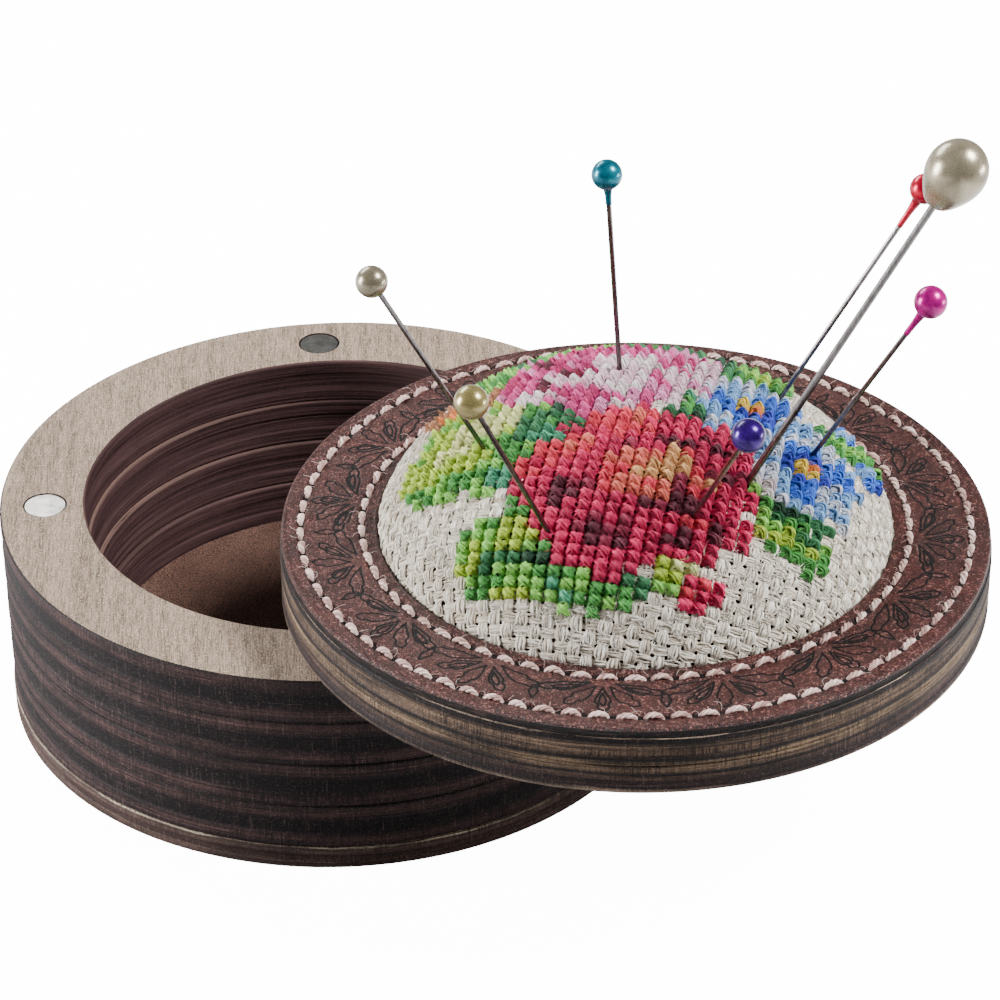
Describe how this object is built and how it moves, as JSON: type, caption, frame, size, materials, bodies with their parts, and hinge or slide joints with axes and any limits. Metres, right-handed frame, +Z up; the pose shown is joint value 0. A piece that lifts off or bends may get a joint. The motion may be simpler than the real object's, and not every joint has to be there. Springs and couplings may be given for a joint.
{
  "type": "pin cushion",
  "caption": "Round plywood needle box whose lid is a domed, cross-stitched pin cushion. The lid swivels aside on magnets and the pins pull out.",
  "frame": {"origin": "middle of the box's underside, on the axis of the box", "axes": "+Z up; the lid is swivelled open towards +X, and is closed when its axis meets the Z axis"},
  "size_m": [0.1185, 0.1067, 0.0967],
  "materials": {
    "stained_plywood": "stained laser-cut plywood",
    "lining_leather": "matte",
    "magnet": "nickel plated",
    "tooled_leather": "tooled, satin",
    "stitch_thread": "waxed thread",
    "card": "plain",
    "stuffing": "loose fibre",
    "linen": "evenweave linen",
    "floss": "stranded cotton cross stitch",
    "pin_steel": "polished",
    "pearl_grey": "pearl",
    "pearl_cream": "pearl",
    "bead_teal": "gloss",
    "bead_blue": "gloss",
    "bead_red": "gloss",
    "bead_magenta": "gloss",
    "pearl_teardrop": "pearl"
  },
  "bodies": {
    "box": {"bottom_disc": "stained_plywood", "floor_lining": "lining_leather", "box_ring_1": "stained_plywood", "box_ring_2": "stained_plywood", "box_ring_3": "stained_plywood", "box_ring_4": "stained_plywood", "box_magnets": "magnet"},
    "lid": {"lid_base_disc": "stained_plywood", "lid_magnets": "magnet", "lid_upper_ring": "stained_plywood", "leather_ring": "tooled_leather", "outer_stitching": "stitch_thread", "inner_stitching": "stitch_thread", "cushion_board": "card", "cushion_filling": "stuffing", "cushion_cover": "linen", "embroidery": "floss"},
    "grey_pearl_pin": {"grey_pearl_shank": "pin_steel", "grey_pearl_head": "pearl_grey"},
    "cream_pearl_pin": {"cream_pearl_shank": "pin_steel", "cream_pearl_head": "pearl_cream"},
    "teal_pin": {"teal_shank": "pin_steel", "teal_head": "bead_teal"},
    "blue_pin": {"blue_shank": "pin_steel", "blue_head": "bead_blue"},
    "red_pin": {"red_shank": "pin_steel", "red_head": "bead_red"},
    "magenta_pin": {"magenta_shank": "pin_steel", "magenta_head": "bead_magenta"},
    "teardrop_pin": {"teardrop_shank": "pin_steel", "teardrop_head": "pearl_teardrop"}
  },
  "joints": [
    {"name": "lid_swivel", "type": "hinge", "parent": "box", "child": "lid", "pos_m": [0.00144, -0.03587, 0.02705], "axis": [0, 0, 1], "range_deg": [0, 71.7]},
    {"name": "grey_pearl_pull", "type": "slide", "parent": "lid", "child": "grey_pearl_pin", "axis": [-0.4322, -0.1834, 0.8829], "range_m": [-0.002, 0.013]},
    {"name": "cream_pearl_pull", "type": "slide", "parent": "lid", "child": "cream_pearl_pin", "axis": [-0.3325, -0.3693, 0.8678], "range_m": [-0.002, 0.015]},
    {"name": "teal_pull", "type": "slide", "parent": "lid", "child": "teal_pin", "axis": [-0.0748, -0.168, 0.9829], "range_m": [-0.002, 0.013]},
    {"name": "blue_pull", "type": "slide", "parent": "lid", "child": "blue_pin", "axis": [0.1506, -0.604, 0.7826], "range_m": [-0.002, 0.017]},
    {"name": "red_pull", "type": "slide", "parent": "lid", "child": "red_pin", "axis": [0.4515, -0.1168, 0.8846], "range_m": [-0.002, 0.009]},
    {"name": "magenta_pull", "type": "slide", "parent": "lid", "child": "magenta_pin", "axis": [0.3682, -0.3315, 0.8686], "range_m": [-0.002, 0.013]},
    {"name": "teardrop_pull", "type": "slide", "parent": "lid", "child": "teardrop_pin", "axis": [0.3805, -0.2359, 0.8942], "range_m": [-0.002, 0.012]}
  ]
}
